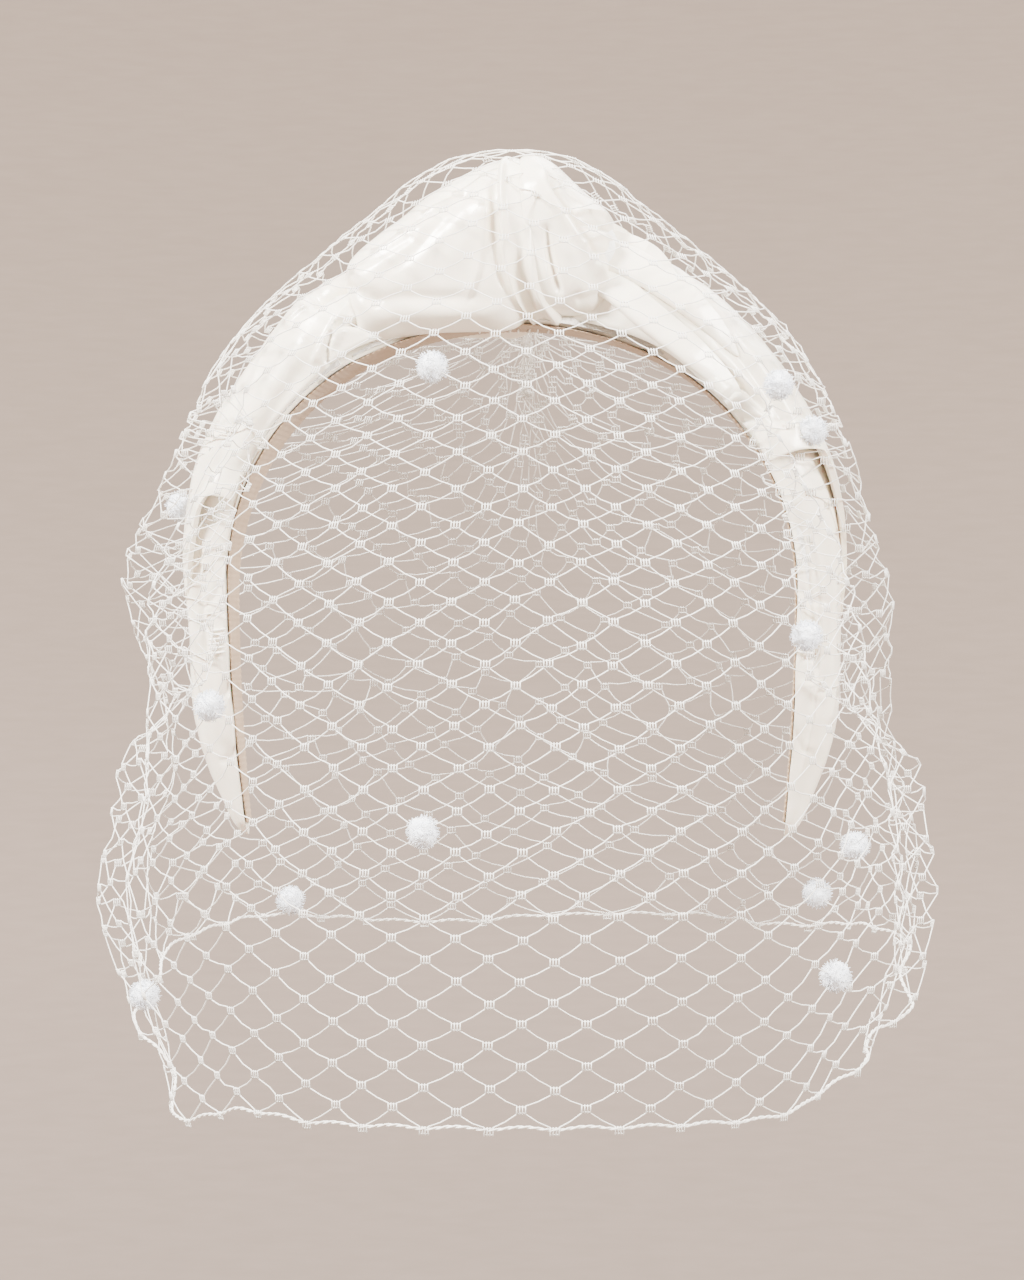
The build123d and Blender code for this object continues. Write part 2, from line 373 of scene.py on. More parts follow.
KNOT_HALF_WIDTH = 1.15
KNOT_HALF_HEIGHT = 1.05


def net_threads(nodes, ties):
    """The threads between the net's knots."""
    point, side, rise, out = nodes
    low, high, step = ties.T
    width = np.minimum(KNOT_HALF_WIDTH, 0.18 * np.linalg.norm(point[high] - point[low], axis=1))
    width = (width * step)[:, None]
    start = point[low] + side[low] * width + rise[low] * KNOT_HALF_HEIGHT
    finish = point[high] - side[high] * width - rise[high] * KNOT_HALF_HEIGHT
    sag = random_source.normal(0, 0.3, (len(ties), 1)) * out[low] - 0.3 * rise[low]
    paths = [start + (finish - start) * t + sag * math.sin(math.pi * t) for t in (0, 0.5, 1)]
    return tubes(np.stack(paths, 1), NET_THREAD, out[low][:, None, :], sides=5)


def net_knots(nodes):
    """Small square knots: four upright bars and two ties across each."""
    point, side, rise, out = nodes
    bars = []
    for place in (-1, -0.33, 0.33, 1):
        offset = side * KNOT_HALF_WIDTH * place + out * 0.12
        upright = rise * KNOT_HALF_HEIGHT
        bars.append(np.stack([point + offset + upright * t for t in (-1.1, 1.1)], 1))
    for place in (-0.75, 0.75):
        offset = rise * KNOT_HALF_HEIGHT * place
        bars.append(np.stack([point + offset + side * KNOT_HALF_WIDTH * t for t in (-1.1, 1.1)], 1))
    bars = np.concatenate(bars)
    return tubes(bars, NET_THREAD * 1.05, np.tile(out, (6, 1))[:, None, :], sides=3, caps=True)


def cord_frame(path):
    """Sideways and upward directions along a closed line of points."""
    along = unit(np.roll(path, -1, axis=0) - np.roll(path, 1, axis=0))
    side = unit(np.cross(along, [0, 0, 1.0]))
    return side, np.cross(side, along)


def closed_cord(path, radius, sides):
    """A cord along a closed line of points."""
    side, up = cord_frame(path)
    turn = around(sides)[:, None]
    ring = path[:, None] + radius * (side[:, None] * np.cos(turn) + up[:, None] * np.sin(turn))
    return ring.reshape(-1, 3), list(grid_faces(len(path) + 1, sides) % (len(path) * sides))


def hem_cord(line):
    """The selvedge: two twisted threads in a shallow zigzag through the lowest knots."""
    fine = []
    for n in range(len(line)):
        before, here, after = line[n - 1], line[n], line[(n + 1) % len(line)]
        for t in np.linspace(0, 1, 9)[:-1]:
            corner = (before + here) / 2 * (1 - t) ** 2 + here * 2 * t * (1 - t)
            fine.append(corner + (here + after) / 2 * t**2)
    fine = np.array(fine)
    side, up = cord_frame(fine)
    strands = []
    for phase in (0, math.pi):
        turn = (np.arange(len(fine)) * 2 * np.pi / 5 + phase)[:, None]
        apart = HEM_TWIST * (side * np.cos(turn) + up * np.sin(turn))
        strands.append(closed_cord(fine + apart, HEM_THREAD, 6))
    return join_parts(strands)


veil_nodes, veil_ties, veil_hem = lay_net()
net = make_mesh("net", *join_parts([net_threads(veil_nodes, veil_ties), net_knots(veil_nodes)]))
selvedge = make_mesh("hem_cord", *hem_cord(veil_hem))

# Chenille dots: side, height, 1 for the front layer or -1 for the rear one
DOTS = [
    (-18, -12, 1), (75, -13, 1), (86, -33, 1), (83, -83, 1), (-15, -138, 1), (95, -173, 1),
    (-98, -184, 1), (-74, -104, 1), (-100, -49, -1), (95, -146, -1), (87, -162, -1),
    (-70, -160, -1),
]
DOT_RADIUS = 4.0


def dot_middle(x, height, face):
    """The knot of the front or the rear net that a dot is fixed to, nearest its place."""
    point, _, _, out = veil_nodes
    gap = np.hypot(point[:, 0] - x, point[:, 2] - height)
    return point[(gap + 90 * (out[:, 1] * face > 0.05)).argmin()]


def fuzzy_dot(middle, seed):
    """A soft ball of cut fibres: a lumpy core and short fibres standing out of it."""
    source = np.random.default_rng(seed)
    rings, columns = 17, 28
    turn, rise = np.meshgrid(
        np.arange(columns) / columns * 2 * np.pi, np.linspace(0, np.pi, rings + 2)[1:-1]
    )
    way = np.stack([np.sin(rise) * np.cos(turn), np.sin(rise) * np.sin(turn), np.cos(rise)], -1)
    way = way.reshape(-1, 3)
    lumps = np.array([noise.fractal(Vector(p * 2.1 + seed), 0.6, 2.2, 4) for p in way])
    core = way * (DOT_RADIUS * (0.93 + 0.16 * lumps))[:, None]
    core = np.concatenate([core, [[0, 0, DOT_RADIUS * 0.93], [0, 0, -DOT_RADIUS * 0.93]]])
    faces = list(grid_faces(rings, columns)) + end_faces(rings, columns)
    count = 420
    aim = unit(source.normal(size=(count, 3)))
    lean = unit(aim + 0.5 * source.normal(size=(count, 3)))
    length = source.uniform(0.5, 1.15, (count, 1))
    root = aim * DOT_RADIUS * 0.88
    middle_point = root + aim * length * 0.6
    tip = middle_point + lean * length * 0.6
    hair = tubes(np.stack([root, middle_point, tip], 1), 0.085, lean[:, None, ::-1], 3, caps=True)
    points, faces = join_parts([(core, faces), hair])
    return points + middle, faces


fuzzy_dots = [fuzzy_dot(dot_middle(*dot), n) for n, dot in enumerate(DOTS)]
dots = make_mesh("net_dots", *join_parts(fuzzy_dots))

for piece, node, finish in (
    (net, "veil_net", "veil_netting"),
    (selvedge, "veil_selvedge", "selvedge_cord"),
    (dots, "chenille_dots", "chenille"),
):
    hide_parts(node)
    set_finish(piece, finish)
    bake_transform(piece)

# ---- The band as a line to build on ----
CROWN_RUN = CROWN_RADIUS * CROWN_TURN
SHOULDER_RUN = SHOULDER_RADIUS * (math.pi / 2 - CROWN_TURN)
SHOULDER_Z = -CROWN_RADIUS * (1 - math.cos(CROWN_TURN))
TEMPLE_Z = SHOULDER_Z - SHOULDER_RADIUS * math.cos(CROWN_TURN)
END_Z = TEMPLE_Z - LEG_RADIUS * math.sin((BAND_HALF - CROWN_RUN - SHOULDER_RUN) / LEG_RADIUS)


def band_place(s, across, height, side):
    """Points at a distance along the band, across it (- to the face) and above its underside."""
    s, across, height = np.broadcast_arrays(np.asarray(s, float), across, height)
    a = np.minimum(s, CROWN_RUN) / CROWN_RADIUS
    b = CROWN_TURN + np.clip(s - CROWN_RUN, 0, SHOULDER_RUN) / SHOULDER_RADIUS
    c = np.maximum(s - CROWN_RUN - SHOULDER_RUN, 0) / LEG_RADIUS
    out = CROWN_RADIUS * np.sin(a)
    down = -CROWN_RADIUS * (1 - np.cos(a))
    out = out + SHOULDER_RADIUS * (np.sin(b) - math.sin(CROWN_TURN))
    down = down - SHOULDER_RADIUS * (math.cos(CROWN_TURN) - np.cos(b))
    out = out - LEG_RADIUS * (1 - np.cos(c))
    down = down - LEG_RADIUS * np.sin(c)
    slope = a + (b - CROWN_TURN) + c
    lean = LEAN_BACK * down / END_Z
    x = side * (out + height * np.sin(slope))
    return np.stack([x, lean + across, down + height * np.cos(slope)], -1)


# ---- Satin: smooth skins with folds pressed into them ----
def grid_normals(grid, wrap=True):
    """Outward normals of a grid of points whose columns run round it."""
    down = np.gradient(grid, axis=0)
    if wrap:
        round_it = np.roll(grid, -1, axis=1) - np.roll(grid, 1, axis=1)
    else:
        round_it = np.gradient(grid, axis=1)
    normal = unit(np.cross(round_it, down))
    middle = grid.mean(axis=(0, 1))
    if (normal * (grid - middle)).sum() < 0:
        normal = -normal
    return normal


def smooth_path(path, count=28):
    """A path through a few places, as many short runs."""
    path = np.asarray(path, float)
    run = np.concatenate([[0], np.cumsum(np.linalg.norm(np.diff(path, axis=0), axis=1))])
    return through(np.column_stack([run, path]), np.linspace(0, run[-1], count))


def fold_depth(flat, kind, path, height, width):
    """How far one fold lifts each place of the front or rear view, given as x and z."""
    path = smooth_path(path)
    start, end = path[:-1], path[1:]
    run = end - start
    reach = flat[:, None, :] - start
    share = np.clip((reach * run).sum(-1) / (run**2).sum(-1), 0, 1)
    gap = reach - share[..., None] * run
    distance = np.linalg.norm(gap, axis=-1)
    near = distance.argmin(1)
    rows = np.arange(len(flat))
    d = distance[rows, near]
    along = (near + share[rows, near]) / len(run)
    fade = smooth_step(0, 0.18, along) * (1 - smooth_step(0.82, 1, along))
    if kind == "ledge":
        turn = run[near, 0] * gap[rows, near, 1] - run[near, 1] * gap[rows, near, 0]
        slow = np.exp(-d / width)
        fast = hump(d, 0, 0.55)
        return height * fade * np.where(turn > 0, slow, fast)
    return height * fade * hump(d, 0, width)


def press(grid, folds, normal=None, softness=0.3):
    """A grid of points with folds, and a little natural unevenness, pressed into it."""
    normal = grid_normals(grid) if normal is None else normal
    flat = grid.reshape(-1, 3)
    facing = -normal.reshape(-1, 3)[:, 1]
    lift = np.zeros(len(flat))
    for kind, path, height, width, *face in folds:
        weight = smooth_step(-0.15, 0.35, facing * (face[0] if face else 1))
        lift += weight * fold_depth(flat[:, [0, 2]], kind, path, height, width)
    uneven = np.array([noise.fractal(Vector(p / 13.0), 0.9, 2.1, 3) for p in flat])
    lift += softness * uneven
    return grid + lift.reshape(grid.shape[:2])[..., None] * normal


def skin_parts(grid):
    """Points and faces of a closed skin."""
    rows, columns, _ = grid.shape
    points = np.concatenate([grid.reshape(-1, 3), [grid[0].mean(0), grid[-1].mean(0)]])
    return points, list(grid_faces(rows, columns)) + end_faces(rows, columns)


def closed_skin(name, *grids):
    """One piece of closed skins from rings of points, their two ends drawn together."""
    return make_mesh(name, *join_parts(map(skin_parts, grids)))


def power(value, exponent):
    """A power that keeps the sign."""
    return np.sign(value) * np.abs(value) ** exponent


def round_end(places, end, reach):
    """1 inside, falling to 0 like a half circle within reach of an end."""
    t = np.clip((places - end) / reach, 0, 1)
    return np.sqrt(np.maximum(1 - (1 - t) ** 2, 1e-6))


# ---- The knot ----
# Along the lobe: bottom x and z, top x and z, reach to the front, reach to the rear
MAIN_LOBE = [
    (0, -44.6, 4.0, -46.8, 12.5, 10, 10),
    (2, -43.4, 0.4, -46.4, 16.5, 15, 14),
    (6, -40.6, -4.2, -43.8, 20.6, 19.4, 18),
    (12, -35, -4.6, -37.8, 25.8, 21.6, 20),
    (20, -27, -3.6, -30.2, 31.2, 22.8, 21.4),
    (29, -17.5, -3.2, -21.4, 38.2, 23.6, 22),
    (38, -8.5, -3.2, -11.2, 43.8, 24, 22.6),
    (46, 0.5, -3.2, -3.6, 46.9, 23.8, 22.6),
    (51, 4.5, -1.0, 1.5, 47.4, 22, 21),
    (55, 7.5, 3.0, 4.5, 44.0, 19, 18),
]
SIDE_LOBE = [
    (0, 3.0, 5.0, -1.5, 44.5, 19, 19),
    (4, 7.2, 2.6, 2.4, 48.0, 23.4, 22.4),
    (8, 11.6, 2.0, 7.2, 48.4, 24.8, 22.6),
    (12, 15.6, 2.0, 12.0, 46.0, 24.6, 22.2),
    (16, 19.8, 2.0, 17.0, 41.4, 23.6, 21.6),
    (20.5, 24.2, 2.4, 22.4, 36.4, 21.8, 20.2),
    (24.5, 27.4, 4.6, 27.0, 32.0, 19, 18),
    (28, 29.2, 9.0, 30.6, 27.0, 13.5, 14),
]


def lobe_grid(table, rows, columns, fullness=2.5):
    """Rings of a pillow-like lobe."""
    places = np.linspace(table[0][0], table[-1][0], rows)
    bottom_x, bottom_z, top_x, top_z, front, rear = through(table, places).T[:, :, None]
    turn = around(columns)
    blunt = np.where(np.cos(turn) > 0, fullness, fullness + 1.6)
    lift = power(np.cos(turn), 2 / blunt)
    push = power(np.sin(turn), 2 / blunt)
    close = round_end(places, places[0], 5.5)[:, None]
    close = close * round_end(-places, -places[-1], 4.0)[:, None]
    share = 0.5 - 0.5 * lift * close
    x = top_x + (bottom_x - top_x) * share
    z = top_z + (bottom_z - top_z) * share
    y = np.where(push > 0, -front, rear) * np.abs(push) * close
    return np.stack([x, y, z], -1)


# Folds of the front, and of the rear where the last value is -1: kind, x and z of places
# along the fold, height and width
KNOT_FOLDS = [
    ("valley", [(-46, 12), (-40, 8.5), (-34, 6)], -1.4, 1.4),
    ("valley", [(-30, 27), (-20, 31), (-9, 38)], -0.8, 1.4),
    ("ledge", [(-12, 4), (-7.5, 14), (-5.5, 26), (-4.5, 38)], 0.9, 2.2),
    ("ridge", [(-41, 1.5), (-33, 2.8), (-22, 3.2), (-8, 3.0), (3, 3.4)], 0.8, 2.6),
    ("valley", [(-39, 6), (-30, 7.4), (-18, 7.2), (-6, 7)], -1.0, 2.0),
    ("valley", [(-8, 41), (-17, 30), (-27, 19), (-37, 12)], -0.9, 2.4),
    ("ridge", [(-4, 36), (-10, 24), (-20, 14)], 0.7, 3.6),
    ("valley", [(-44, 16), (-34, 20), (-24, 26)], -0.8, 1.8),
    ("valley", [(-2.8, 44), (-3.6, 34), (-3.2, 24), (-1.2, 14), (2, 6)], -0.9, 1.3),
    ("ledge", [(-40, 14), (-24, 20), (-6, 22)], 1.1, 5.0, -1),
    ("valley", [(-38, 4), (-20, 9), (-2, 9)], -1.0, 2.0, -1),
]
SIDE_FOLDS = [
    # the seam from the apex down to the small lobe's right end
    ("ledge", [(29, 9), (25, 16.7), (20.8, 23.5), (16.5, 30), (12, 36.5), (8.5, 46)], 2.8, 3.6),
    ("valley", [(9, 43), (12.9, 36), (17.4, 29.6), (21.7, 22.9), (26, 15.7)], -1.5, 1.0),
    # leaves beside it
    ("ledge", [(17.5, 29.5), (22, 31), (27, 30.6), (32, 27)], 1.3, 1.6),
    ("valley", [(18.5, 26.5), (24, 27), (31, 25.5)], -1.3, 1.1),
    ("ledge", [(20.5, 21.5), (25, 24), (31, 23.5)], 1.1, 1.6),
    ("valley", [(22.5, 18.5), (28, 19.5), (33, 18)], -1.0, 1.2),
    ("valley", [(15.5, 42), (17.5, 36), (20.5, 31.8)], -0.6, 1.2),
    # shading folds on the small lobe itself
    ("valley", [(11.2, 28), (12.2, 20), (14, 12), (15.5, 7)], -2.1, 1.2),
    ("ridge", [(16.5, 24), (19, 15), (22, 7)], 1.2, 2.4),
    ("valley", [(19, 6), (23, 7), (27, 9)], -0.5, 1.2),
    ("ledge", [(8, 36), (16, 26), (26, 14)], 1.6, 4.0, -1),
    ("valley", [(9, 22), (17, 15), (25, 9)], -1.2, 1.8, -1),
]
KNOT_MIDDLE_Z = 23.4
# Round the knot: turn from its bottom, left edge and right edge of the pleat
PLEAT_EDGES = [
    (0.30, 8.6, 13.0), (0.50, 6.6, 15.0), (0.72, 4.9, 14.0), (0.95, 2.6, 11.4),
    (1.25, 0.4, 9.2), (1.6, -1.4, 8.2), (2.1, -2.3, 8.2), (2.6, -2.4, 8.8), (3.14, -1.6, 9.2),
    (3.8, -0.6, 9.8), (4.6, 0.4, 10.4), (5.4, 2.2, 11.4), (6.0, 4.0, 11.6),
]


def pleat_grid(rows=200, columns=72):
    """The twisted strip round the knot that ends in a rounded tongue."""
    turns = np.linspace(PLEAT_EDGES[0][0], PLEAT_EDGES[-1][0], rows)
    left, right = through(PLEAT_EDGES, turns).T[:, :, None]
    close = (round_end(turns, turns[0], 0.24) * round_end(-turns, -turns[-1], 0.2))[:, None]
    turns = turns[:, None]
    q = around(columns)
    side = power(np.cos(q), 0.8) * close
    rise = np.sin(q)
    middle, half = (left + right) / 2, (right - left) / 2
    share = side * 0.5 + 0.5
    low_part = 1 - smooth_step(1.25, 1.9, turns)
    top = 1 - 0.75 * hump(turns, 3.0, 0.5)
    tongue = smooth_step(0.34, 0.8, turns)
    piping = 2.0 * hump(share, 0.09, 0.09) * top * (0.35 + 0.65 * tongue)
    second = 2.3 * hump(share, 0.84, 0.13) * low_part * tongue
    hollow = -2.3 * hump(share, 0.46, 0.24) * low_part * tongue
    sunk = -2.2 * smooth_step(0.12, 1.0, share) * (1 - low_part)
    apex = -0.9 * hump(turns, 3.0, 0.6)
    over = 1.7 + apex + 0.5 * (1 - tongue) + piping + second + hollow + sunk
    skin = np.abs(rise) ** 0.5 * close
    radial = np.where(rise > 0, over * skin, -3.5 * np.abs(rise) * close)
    x = middle + half * side
    push = power(np.sin(turns), 0.74)
    drop = power(np.cos(turns), 0.74)
    reach = np.where(push > 0, 23.6, 22.2)
    y = -(reach + radial) * push
    z = KNOT_MIDDLE_Z - (23.6 + radial) * drop
    return np.stack([x, y, z], -1)


# ---- Arms and wings ----
# Distance along the band, half width, height above the underside
COVER = [
    (0, 14.0, 8.4), (26, 13.6, 8.6), (40, 15.0, 11.5), (50, 16.4, 15), (66, 16.6, 15.6),
    (84, 16.2, 15.6), (100, 15.5, 15.0), (112, 14.3, 13.9), (125, 12.9, 13.0),
    (140, 11.6, 13.2), (154, 10.1, 13.0), (168, 8.0, 10.6), (179, 6.1, 7.2), (185, 4.9, 5.2),
    (189, 3.4, 3.2),
]
COVER_LOW = 1.0  # height of its flat underside
COVER_FOLDS = {
    1: [
        ("valley", [(79, -50), (82, -62), (84, -80), (84.5, -100)], -1.3, 1.3),
        ("ridge", [(88, -50), (89.5, -66), (89.2, -84), (88, -102)], 1.0, 1.6),
        ("ledge", [(84, -54), (86, -70), (86, -90), (83.5, -112), (80, -128)], 0.9, 1.5),
        ("valley", [(80, -72), (84, -76), (89, -76)], -0.7, 0.9),
        ("valley", [(79, -86), (83, -92), (88, -91)], -0.6, 0.9),
        ("ridge", [(80, -98), (85, -102), (89, -104)], 0.6, 1.2),
        ("valley", [(79, -112), (82, -118), (85, -119)], -0.6, 0.9),
        ("valley", [(86, -60), (84, -90), (79, -124)], -0.9, 1.6, -1),
    ],
    -1: [
        ("ridge", [(-90.6, -50), (-91.4, -62), (-90.4, -76), (-88.6, -92)], 1.3, 1.4),
        ("valley", [(-87.6, -54), (-88.2, -66), (-87, -80), (-85, -96)], -1.2, 1.2),
        ("valley", [(-81, -70), (-84, -76), (-88, -78)], -0.6, 0.9),
        ("ridge", [(-80, -84), (-82, -100), (-80, -120)], 0.7, 1.8),
        ("valley", [(-79, -98), (-83, -104), (-87, -103)], -0.6, 0.9),
        ("valley", [(-78, -116), (-81, -121), (-84, -121)], -0.5, 0.9),
        ("valley", [(-87, -58), (-84, -90), (-79, -124)], -0.9, 1.6, -1),
    ],
}


def cover_grid(side, rows=250, columns=132):
    """Satin round the padded band from the crown's middle to one tip."""
    s = np.linspace(0, BAND_HALF + 0.6, rows)
    half, height = through(COVER, s).T[:, :, None]
    turn = around(columns)
    close = round_end(-s, -s[-1], 4)[:, None]
    across = -half * power(np.cos(turn), 0.86) * close
    rise = power(np.sin(turn), 0.8)
    above = COVER_LOW + (height - COVER_LOW) * np.maximum(rise, 0) * (0.35 + 0.65 * close)
    return band_place(s[:, None], across, above, side)


# Distance along the band, half width, height
WING = {
    1: [
        (17, 13.5, 24), (23, 17.5, 26.6), (29, 20, 26.8), (36, 21.4, 25.8), (46, 22.4, 24.6),
        (60, 22, 21.6), (80, 20.2, 18.8), (95, 18.6, 17.4), (106, 16.8, 15.6),
        (118, 14.6, 14.2), (128, 12.9, 13.3),
    ],
    -1: [
        (30, 14, 22), (36, 18.5, 25.5), (42, 21.2, 25.8), (50, 22.2, 24.4), (62, 21.6, 20.8),
        (80, 20, 18.6), (95, 18.4, 17), (106, 16.6, 15.4), (118, 14.6, 14.1), (128, 12.9, 13.3),
    ],
}
WING_FOLDS = {
    1: [
        # the long roll along the inner edge and the valley above it
        ("ridge", [(30, 8), (38, 1.6), (47.5, -7), (57, -16.5), (66, -26)], 1.8, 3.2),
        ("valley", [(29.5, 13), (37.8, 5.4), (45, 1.2), (52, -5), (59, -11.9), (64.6, -17),
                    (76, -28.5)], -2.2, 1.25),
        # the dark gap between two layers
        ("valley", [(32.6, 13.8), (38, 11.2), (45.4, 6.9), (51, 2.2)], -4.2, 0.75),
        ("ledge", [(31, 17.5), (39, 14.4), (47, 9.4), (54, 3.0), (60, -4)], 1.4, 2.6),
        ("ledge", [(65, -6), (58, 4), (50, 12.4), (42, 19), (33, 22.4)], 1.1, 2.2),
        ("valley", [(56, -1), (64, -9), (72, -20), (79, -31)], -1.2, 1.5),
        ("ridge", [(60, 0), (68, -9), (76, -21), (82, -33)], 0.9, 1.6),
        # creases across the roll
        ("valley", [(42, -4), (44.5, -0.6), (47, 1.4)], -1.0, 0.9),
        ("valley", [(59.5, -21.5), (62.5, -18.5), (66, -17.5)], -1.1, 0.8),
        ("valley", [(63.5, -27.5), (67, -26.3), (71, -26.8)], -1.0, 0.8),
        ("ledge", [(40, 14), (54, 4), (68, -12), (78, -34)], 1.4, 4.0, -1),
        ("valley", [(36, 6), (50, -6), (64, -22)], -1.3, 1.8, -1),
    ],
    -1: [
        # the opening between the rear layer and the front one
        ("valley", [(-43, 14.6), (-49.5, 11), (-57, 7.2)], -8.5, 2.3),
        ("ledge", [(-63, 0), (-57, 5.4), (-50, 7.8), (-44, 9.5)], 1.0, 2.2),
        # small folded tabs at the lower edge
        ("ledge", [(-43.8, 7.4), (-47.4, 1.4), (-50.6, -4.6), (-54.6, -11.6)], 1.6, 2.6),
        ("valley", [(-39.5, 0.2), (-44.5, 0.6), (-48.6, -1)], -2.6, 0.9),
        ("valley", [(-48.2, -1), (-49.4, -6), (-50, -11.4)], -1.8, 0.8),
        ("ledge", [(-52, -11.5), (-46.6, -3), (-43, 3.6)], 0.8, 1.4),
        # long soft folds down the strap
        ("ridge", [(-52, 1), (-60, -10), (-70, -26), (-78, -44)], 0.9, 3.4),
        ("valley", [(-54, -8), (-61, -18), (-69, -31), (-75, -43)], -0.9, 2.2),
        ("valley", [(-64, -6), (-71, -16), (-78, -30), (-83, -44)], -0.7, 1.7),
        ("ridge", [(-84, -32), (-87.5, -42), (-89, -52)], 0.8, 1.6),
        ("valley", [(-79, -47), (-81.6, -53), (-82, -60)], -1.2, 1.6),
        ("ledge", [(-44, 12), (-56, 2), (-70, -16), (-80, -40)], 1.4, 4.0, -1),
        ("valley", [(-44, 2), (-56, -10), (-68, -26)], -1.2, 1.8, -1),
    ],
}
# Where each wing ends at its front edge and at its outer edge, and the turns round the
# band between which its rim runs from the first to the second
WING_ENDS = {1: (85.0, 127.0, 0.9, 1.5), -1: (96.0, 127.0, 0.3, 1.1)}
WING_THICK = 1.5


def wing_grid(side, rows=150, columns=110):
    """Rings of the folded outer layer: its outer face, then back along its inner face."""
    table = WING[side]
    front_end, outer_end, rim_start, rim_end = WING_ENDS[side]
    turn = np.linspace(0, np.pi, columns)
    flush = smooth_step(rim_start, rim_end, turn)
    end = front_end + 5 * np.sin(turn) ** 2 + (outer_end - front_end - 5) * flush
    v = np.linspace(0, 1, rows)[:, None]
    s = table[0][0] + v * (end[None, :] - table[0][0])
    half, height = (m.reshape(s.shape) for m in through(table, s.ravel()).T)
    flare = 1.8 * smooth_step(0.86, 1.0, v) * (1 - flush)
    low = 1.7 + 1.4 * smooth_step(60, 40, s)
    across = -(half + flare) * power(np.cos(turn), 0.84)
    above = low + (height + flare - low) * power(np.sin(turn), 0.74)
    return band_place(s, across, above, side)


def wing_skin(name, side):
    """The wing as a closed thick sheet, open at its far end like a folded sleeve."""
    outer = wing_grid(side)
    rows, columns, _ = outer.shape
    normal = grid_normals(outer, wrap=False)
    outer = press(outer, WING_FOLDS[side], normal)
    v = np.linspace(0, 1, rows)
    thick = WING_THICK * round_end(1 - v, 0, 0.018) * round_end(v, 0, 0.02)
    edge = np.linspace(0, 1, columns)
    thick = thick[:, None] * round_end(edge, 0, 0.03) * round_end(1 - edge, 0, 0.03)
    inner = (outer - normal * thick[..., None])[:, ::-1]
    ring = np.concatenate([outer, inner], axis=1)
    faces = list(grid_faces(rows, 2 * columns))
    for first in (0, (rows - 1) * 2 * columns):
        for c in range(columns - 1):
            a, b = first + c, first + c + 1
            faces.append((a, b, first + 2 * columns - 2 - c, first + 2 * columns - 1 - c))
    return make_mesh(name, ring.reshape(-1, 3), faces)


def rest_on_band(grid, clear=0.95, hang=3.6):
    """A grid of points whose underside lies on the band's lining and hangs past its edges."""
    line = band_place(np.linspace(0, 60, 121), 0.0, 0.0, 1)
    under = np.interp(np.abs(grid[..., 0]), line[:, 0], line[:, 2])
    floor = under + clear - hang * smooth_step(15.2, 17.6, np.abs(grid[..., 1]))
    made = grid.copy()
    made[..., 2] = np.where(grid[..., 2] < 10, np.maximum(grid[..., 2], floor), grid[..., 2])
    return made


# Folded leaves of satin that fan out from the knot on the wearer's left: x and z of
# places along each leaf, how far it stands off the wing, its half width and thickness,
# and 1 for the front or -1 for the rear
LEAVES = [
    ([(17, 30.5), (24, 28.2), (31, 25.6), (37, 21)], (0.3, 1.2, -2.2), 2.6, 1.7, 1),
    ([(21, 24.5), (29, 23.8), (38, 20.6), (47, 13.5)], (0.6, 1.3, -2.2), 3.0, 1.9, 1),
    ([(24, 20), (33, 17.4), (43, 11.6), (54, 2.6), (64, -9)], (0.8, 1.4, -2.0), 4.4, 2.1, 1),
    (
        [(23, 15), (31, 9.4), (39, 2.4), (50, -6.6), (60, -16.4), (68, -29)],
        (0.8, 1.2, -2.0), 4.4, 2.2, 1,
    ),
    ([(18, 26), (28, 22), (38, 14), (50, 3.5)], (0.5, 0.8, -2.2), 4.6, 1.3, -1),
]


def on_wing(places, face):
    """How far the left wing reaches to the front (face 1) or the rear (face -1) at x and z."""
    wing = wing_grid(1).reshape(-1, 3)
    wing = wing[wing[:, 1] * face < 0]
    gap = np.hypot(places[:, None, 0] - wing[:, 0], places[:, None, 1] - wing[:, 2])
    reach = np.where(gap < 2.4, -wing[:, 1] * face, 0).max(1)
    return np.convolve(np.pad(reach, 6, mode="edge"), np.ones(13) / 13, mode="valid")


def leaf_grid(places, stand_off, half_width, thick, face, rows=110, columns=36):
    """One leaf: a long pleat with a blunt lower edge that sinks into the wing at its end."""
    flat = smooth_path(places, rows)
    t = np.linspace(0, 1, rows)
    reach = on_wing(flat, face) + np.interp(t, [0, 0.6, 1], stand_off)
    line = np.stack([flat[:, 0], -reach * face, flat[:, 1]], -1)
    along = unit(np.gradient(line, axis=0))
    out = np.array([0, -face, 0.0])
    side = unit(np.cross(along, out)) * face
    swell = (np.sqrt(np.clip(t / 0.08, 1e-3, 1)) * np.clip(1 - t**4, 0, 1) ** 0.8)[:, None] + 0.01
    turn = around(columns)
    across = half_width * swell * np.cos(turn)
    above = thick * swell * power(np.sin(turn), 0.8) * (0.75 + 0.6 * np.cos(turn))
    lean = -0.25 * half_width * swell * (1 - np.cos(turn)) * face
    made = line[:, None] + side[:, None] * across[..., None] + out * above[..., None]
    made[..., 1] -= lean * np.linspace(1, 0.6, rows)[:, None]
    return made


main_lobe = rest_on_band(press(lobe_grid(MAIN_LOBE, 110, 230), KNOT_FOLDS))
side_lobe = rest_on_band(press(lobe_grid(SIDE_LOBE, 84, 230), SIDE_FOLDS))
centre_pleat = rest_on_band(press(pleat_grid(), [], softness=0.12), hang=4.2)
leaves = [press(leaf_grid(*leaf), [], softness=0.25) for leaf in LEAVES]
for node, made in (
    ("knot_main_lobe", closed_skin("satin_main_lobe", main_lobe)),
    ("knot_side_lobe", closed_skin("satin_side_lobe", side_lobe)),
    ("knot_centre_pleat", closed_skin("satin_centre_pleat", centre_pleat)),
    ("knot_fan_pleats", closed_skin("satin_fan_leaves", *leaves)),
):
    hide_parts(node)
    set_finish(made, "knot_satin")
    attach(made, "crown")


def body_point(s, height, side):
    """A place on the band, in metres."""
    return tuple(float(c) * MM for c in band_place(s, 0.0, height, side))


